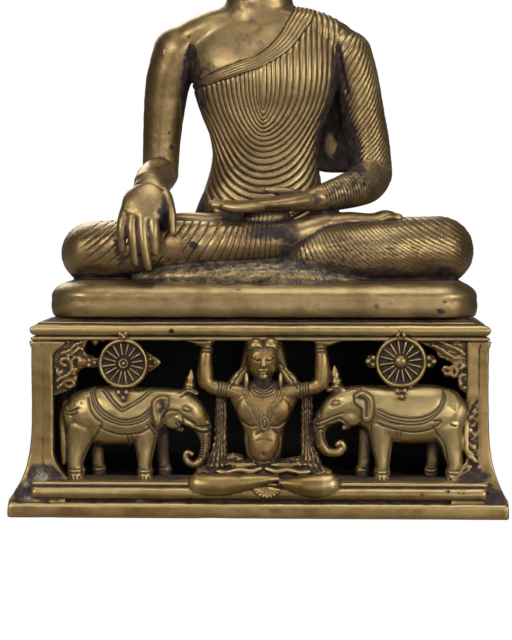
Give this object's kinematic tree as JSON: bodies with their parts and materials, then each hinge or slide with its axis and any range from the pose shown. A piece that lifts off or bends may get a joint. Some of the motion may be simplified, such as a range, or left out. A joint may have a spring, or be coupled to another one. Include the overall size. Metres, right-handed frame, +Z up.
{
  "type": "seated buddha figure on a plinth",
  "caption": "Seated Buddha of cast brass in the earth-touching gesture, on a cushion over an openwork plinth carved with elephants, wheels and a seated bearer.",
  "frame": {"origin": "centre of the plinth's underside", "axes": "+Z up; the figure faces -Y, with its right arm on the -X side"},
  "size_m": [0.24, 0.1246, 0.3289],
  "materials": {
    "plinth_brass": "cast brass, rubbed bright on the raised carving, dark purplish brown in the hollows and black inside",
    "figure_brass": "cast brass, rubbed bright on the body and limbs, dark brown between the robe's folds"
  },
  "bodies": {
    "root": {"openwork_plinth": "plinth_brass", "seated_buddha": "figure_brass"}
  },
  "joints": []
}
